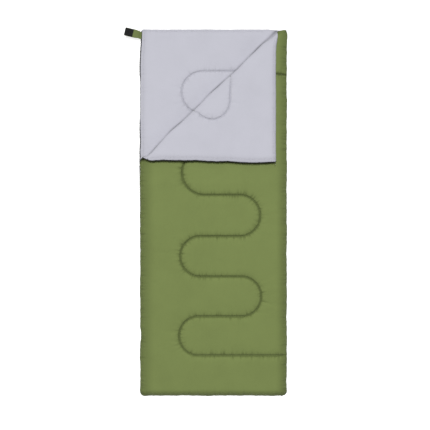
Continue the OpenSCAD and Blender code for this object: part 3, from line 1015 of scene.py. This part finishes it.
TAB_PIVOT = (-0.3916, 0.92431)
TAB_ANGLE = math.radians(13.4)
TAB_WIDTH = 0.043
TAB_RISE = 0.0353  # from the pivot to the bend of the tip
TAB_TIP = 0.0362  # from that bend to the end
TAB_END = TAB_RISE + TAB_TIP
TAB_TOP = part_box("tab_root")[1].z
TAB_THICK = 0.0016
STRAP_ROUND = 0.0012  # rounding of the webbing's edges


def tab_point(u, v, z):
    """u runs out along the strap from its pivot, v across it, towards the foot."""
    u, v, z = (np.asarray(t, float) for t in (u, v, z))
    c, s = math.cos(TAB_ANGLE), math.sin(TAB_ANGLE)
    return np.stack([TAB_PIVOT[0] - u * c - v * s, TAB_PIVOT[1] + u * s - v * c, z + 0 * u], -1)


def strap_slab(name, u0, u1, round_out, material, z_top, thick, half):
    """A flat strip with rounded long edges and, if asked, rounded corners at its outer end."""
    us = np.linspace(u0, u1, max(6, round((u1 - u0) / 0.0012)))
    across = [k / 12 for k in range(-12, 13)]
    rows = []
    for u in us:
        left = u1 - u
        h = half
        if round_out and left < round_out:
            h = half - round_out + math.sqrt(max(round_out**2 - (round_out - left) ** 2, 0))
        rows.append(h * (0.86 + 0.14 * float(smooth((u + 0.012) / 0.03))))
    n = len(across)
    verts, faces = [], []
    for side in (1, -1):
        for i, u in enumerate(us):
            for t in across:
                edge = min(1.0, (1 - abs(t)) * half / STRAP_ROUND)
                end = min(1.0, min(u - u0, u1 - u) / STRAP_ROUND) if round_out else 1.0
                swell = 0.55 + 0.45 * math.sqrt(edge * min(1, end + 0.2))
                dip = 0.006 * float(smooth(-u / 0.014))  # the root is sewn into the edge seam
                z = z_top - thick / 2 + side * thick / 2 * swell - dip
                verts.append(tab_point(u, t * rows[i], z))
    m = len(us)
    for side in (0, 1):
        base = side * m * n
        for i in range(m - 1):
            for k in range(n - 1):
                a, b = base + i * n + k, base + (i + 1) * n + k
                f = (a, b, b + 1, a + 1)
                faces.append(f if side == 0 else f[::-1])
    ring = [k for k in range(n)] + [i * n + n - 1 for i in range(1, m)]
    ring += [(m - 1) * n + k for k in range(n - 2, -1, -1)] + [i * n for i in range(m - 2, 0, -1)]
    low = m * n
    for a, b in zip(ring, ring[1:] + ring[:1]):
        faces.append((a, b, b + low, a + low))
    return new_object(name, verts, faces, material)


half = TAB_WIDTH / 2
root = strap_slab("tab_root_webbing", -0.0300, 0.0012, 0, strap_cloth, TAB_TOP - 0.0003, TAB_THICK, half)
finish_piece(root, "bottom_quilt", "shell_cloth", "tab_root")
strap = strap_slab("tab_strap_webbing", 0.0001, TAB_END, 0.005, strap_cloth, TAB_TOP, TAB_THICK, half)
finish_piece(strap, None, "shell_cloth", "tab_strap_base", "tab_strap_tip")


def bend_strap(obj):
    """Bakes a piece's transform into its mesh."""
    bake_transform(obj)


bend_strap(strap)


def tab_stitches():
    """The box of stitches on the strap's base."""
    u0, u1, v = 0.0035, TAB_RISE - 0.0105, half - 0.005
    path = resample([(u0, -v), (u1, -v), (u1, v), (u0, v), (u0, -v)], 0.0028)
    a, b, keep = stitch_ends(path, longest=0.004)
    ends = [tab_point(*p[keep].T, TAB_TOP + 0.0001) for p in (a, b)]
    obj = new_object("tab_base_stitches", *spindles(*ends, 0.00035), shell_thread)
    finish_piece(obj, "tab_base", "shell_thread")


tab_stitches()

PATCH_START = TAB_RISE - 0.0085
PATCH_TOP, PATCH_THICK = TAB_TOP + 0.0009, 0.0008
patch_half = half - 0.0012
patch = strap_slab(
    "hook_patch_backing", PATCH_START, TAB_END - 0.0006, 0.004, hook_tape, PATCH_TOP, PATCH_THICK, patch_half
)
finish_piece(patch, None, "hook_and_loop", "hook_patch")
bend_strap(patch)


def hooks():
    """Rows of little bent bristles on the hook patch."""
    pitch = 0.0015
    us = np.arange(PATCH_START + 0.0035, TAB_END - 0.004, pitch)
    vs = np.arange(-half + 0.0045, half - 0.004, pitch)
    u, v = np.meshgrid(us, vs)
    u = (u + np.where(np.arange(u.shape[0])[:, None] % 2, pitch / 2, 0)).ravel()
    v = v.ravel()
    z0 = TAB_TOP + 0.0008
    a, b = tab_point(u, v, z0), tab_point(u, v, z0 + 0.0009)
    c = tab_point(u + 0.0005, v, z0 + 0.0007)
    va, fa = spindles(a, b, 0.00016, 5)
    vb, fb = spindles(b, c, 0.00016, 5)
    faces = fa + [tuple(i + len(va) for i in f) for f in fb]
    obj = new_object("hook_patch_bristles", np.concatenate([va, vb]), faces, hook_tape)
    finish_piece(obj, None, "hook_and_loop")
    bend_strap(obj)


hooks()


def loop_pile():
    """The fuzzy patch under the folded corner that the strap fastens to."""
    low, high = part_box("loop_patch")
    centre = (low + high) / 2
    half_length, half_width = 0.018, 0.010
    u, v = np.meshgrid(np.linspace(-half_length, half_length, 61), np.linspace(-half_width, half_width, 35))
    edge = np.minimum(half_length - np.abs(u), half_width - np.abs(v))
    pile = np.random.default_rng(5).uniform(0, 0.00045, u.shape)
    drop = np.where(edge < 1e-6, 0.0, 0.0008 + pile)
    if high.x - low.x < high.y - low.y:
        u, v = v, u
    turn = -TAB_ANGLE
    x = centre.x + u * math.cos(turn) - v * math.sin(turn)
    y = centre.y + u * math.sin(turn) + v * math.cos(turn)
    top = np.stack([x, y, high.z - drop], -1).reshape(-1, 3)
    flat = np.stack([x, y, np.full(x.shape, high.z)], -1).reshape(-1, 3)
    i = np.arange(u.size).reshape(u.shape)
    quads = np.stack([i[:-1, :-1], i[1:, :-1], i[1:, 1:], i[:-1, 1:]], -1).reshape(-1, 4)
    n = u.size
    faces = quads.tolist() + (quads[:, ::-1] + n).tolist()
    ring = [*i[0, :], *i[1:, -1], *i[-1, -2::-1], *i[-2:0:-1, 0]]
    faces += [(int(a), int(b), int(b) + n, int(a) + n) for a, b in zip(ring, ring[1:] + ring[:1])]
    obj = new_object("loop_patch_pile", np.concatenate([top, flat]), faces, hook_tape)
    return finish_piece(obj, "corner_flap", "hook_and_loop", "loop_patch")


loop_pile()

# -------------------- stage, light, camera

scene = bpy.context.scene
bpy.ops.mesh.primitive_plane_add(size=60, location=(0, 0, -0.0006))
floor = bpy.context.object
floor.name = "studio_floor"
bpy.ops.mesh.primitive_uv_sphere_add(segments=48, ring_count=24, radius=29)
backdrop = bpy.context.object
backdrop.name = "studio_backdrop"
paper = Nodes("paper")
grain = paper.ramp(paper.noise(3, 2), [(0.3, (0.44, 0.44, 0.44)), (0.7, (0.46, 0.46, 0.46))])
paper.link(grain, paper.shader.inputs["Base Color"])
paper.value("Roughness", 0.95)
paper.value("Specular IOR Level", 0.0)
paper.value("Emission Color", (1, 1, 1, 1))
paper.value("Emission Strength", 0.82)
floor.visible_diffuse = False  # a lit sweep that throws no light back up
floor.data.materials.append(paper.material)
backdrop.data.materials.append(paper.material)
backdrop.visible_diffuse = backdrop.visible_shadow = backdrop.visible_glossy = False

sun = bpy.data.lights.new("softbox", "SUN")
sun.energy = 3.15
sun.angle = math.radians(18)
softbox = bpy.data.objects.new("softbox", sun)
softbox.rotation_euler = (math.radians(-13), math.radians(-2), 0)
scene.collection.objects.link(softbox)

world = bpy.data.worlds.new("studio")
world.use_nodes = True
world.node_tree.nodes["Background"].inputs["Color"].default_value = (1, 1, 1, 1)
world.node_tree.nodes["Background"].inputs["Strength"].default_value = 0.22
scene.world = world
scene.view_settings.view_transform = "Standard"

VIEW_CENTRE = (0.0075, -0.0127)
VIEW_WIDTH = 2.229
CAMERA_HEIGHT = 3.0
camera = bpy.data.cameras.new("camera")
camera.sensor_width = 36
camera.lens = 36 * (CAMERA_HEIGHT - Z_ZIP) / VIEW_WIDTH
eye = bpy.data.objects.new("camera", camera)
eye.location = (*VIEW_CENTRE, CAMERA_HEIGHT)
scene.collection.objects.link(eye)
scene.camera = eye

bpy.context.view_layer.update()
